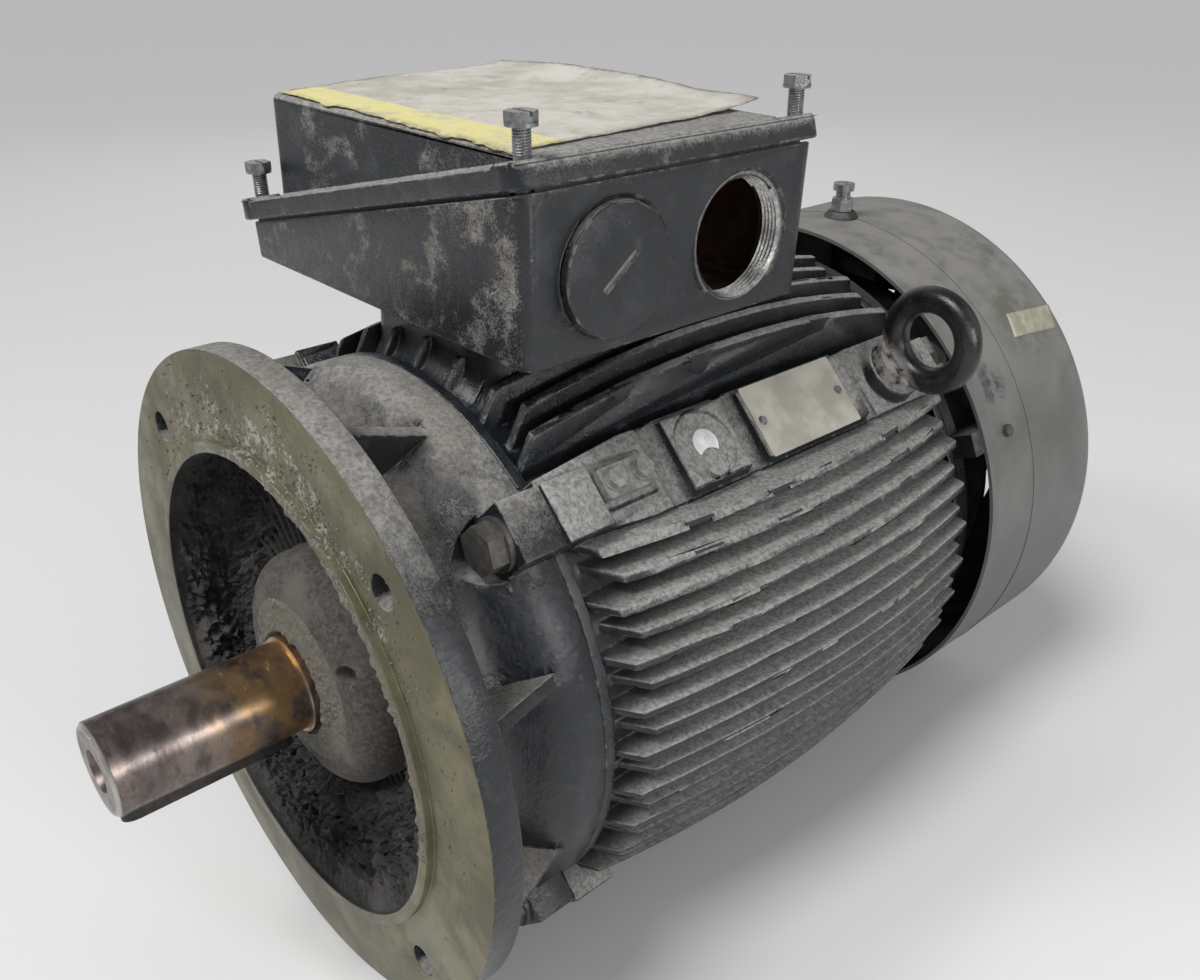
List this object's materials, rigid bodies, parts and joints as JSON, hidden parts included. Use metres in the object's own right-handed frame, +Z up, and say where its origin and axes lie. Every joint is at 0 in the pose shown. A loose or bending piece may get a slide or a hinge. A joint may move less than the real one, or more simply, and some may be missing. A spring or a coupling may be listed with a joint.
{
  "type": "three-phase induction motor",
  "caption": "Flange-mounted totally enclosed induction motor with finned cast frame, fan cowl, sloping-joint terminal box and lifting eyes.",
  "frame": {"origin": "centre of the flange's mounting face, on the shaft axis", "axes": "-Y along the shaft toward the drive end, +Z up toward the terminal box, +X toward the cable entries"},
  "size_m": [0.4, 0.698, 0.5266],
  "materials": {
    "cast_paint": "dusty gloss paint",
    "cowl_paint": "dusty satin paint",
    "black_steel": "worn black paint",
    "zinc_steel": "zinc plated",
    "stainless": "brushed, dusty",
    "bearing_steel": "ground",
    "shaft_steel": "heat tinted",
    "iron_covers": "as cast",
    "core_sheet": "laminated",
    "copper": "varnished",
    "cage_aluminium": "cast",
    "brass_parts": "bright",
    "black_rubber": "matt",
    "black_plastic": "fine grain",
    "board_plastic": "moulded"
  },
  "bodies": {
    "base": {"drive_end_shield": "cast_paint", "stator_frame": "cast_paint", "rear_end_shield": "cast_paint", "stator_core": "core_sheet", "stator_winding": "copper", "drive_bearing_outer_race": "bearing_steel", "rear_bearing_outer_race": "bearing_steel", "drive_inner_bearing_cover": "iron_covers", "rear_inner_bearing_cover": "iron_covers", "drive_cover_screws": "zinc_steel", "rear_cover_screws": "zinc_steel", "drive_shaft_seal": "black_rubber", "drive_wave_washer": "bearing_steel", "drive_shield_bolts": "zinc_steel", "rear_shield_bolts": "zinc_steel", "fan_cowl": "cowl_paint", "cowl_screws": "zinc_steel", "terminal_box_base": "cast_paint", "box_base_gasket": "black_rubber", "box_fixing_screws": "zinc_steel", "terminal_board": "board_plastic", "terminal_studs": "brass_parts", "terminal_nuts": "brass_parts", "terminal_links": "brass_parts", "terminal_board_screws": "zinc_steel", "inner_earth_screw": "zinc_steel", "lid_gasket": "black_rubber", "eye_bolts": "black_steel", "nameplate": "stainless", "nameplate_rivets": "stainless", "outer_earth_clamp": "stainless", "outer_earth_screws": "zinc_steel", "grease_nipple": "zinc_steel", "grease_pipe": "zinc_steel", "nipple_grommet": "black_rubber"},
    "rotor": {"shaft": "shaft_steel", "rotor_core": "core_sheet", "rotor_cage": "cage_aluminium", "drive_bearing_inner_race": "bearing_steel", "rear_bearing_inner_race": "bearing_steel", "rear_locating_ring": "bearing_steel", "fan": "black_plastic", "fan_key": "shaft_steel", "fan_retaining_ring": "bearing_steel"},
    "drive_ball_set": {"drive_bearing_cage": "bearing_steel", "drive_bearing_balls": "bearing_steel"},
    "rear_ball_set": {"rear_bearing_cage": "bearing_steel", "rear_bearing_balls": "bearing_steel"},
    "lid": {"terminal_box_lid": "cast_paint", "lid_screws": "zinc_steel"},
    "plug": {"blanking_plug": "black_plastic"}
  },
  "joints": [
    {"name": "rotor_spin", "type": "hinge", "parent": "base", "child": "rotor", "pos_m": [0, 0, 0], "axis": [0, -1, 0], "continuous": true},
    {"name": "drive_balls_spin", "type": "hinge", "parent": "base", "child": "drive_ball_set", "pos_m": [0, 0, 0], "axis": [0, -1, 0], "continuous": true},
    {"name": "rear_balls_spin", "type": "hinge", "parent": "base", "child": "rear_ball_set", "pos_m": [0, 0, 0], "axis": [0, -1, 0], "continuous": true},
    {"name": "lid_lift", "type": "slide", "parent": "base", "child": "lid", "axis": [0, 0, 1], "range_m": [0, 0.09]},
    {"name": "plug_draw", "type": "slide", "parent": "base", "child": "plug", "axis": [1, 0, 0], "range_m": [0, 0.03]}
  ],
  "couplings": [
    {"joint": "drive_balls_spin", "follows": "rotor_spin", "ratio": 0.4066},
    {"joint": "rear_balls_spin", "follows": "rotor_spin", "ratio": 0.4066}
  ]
}
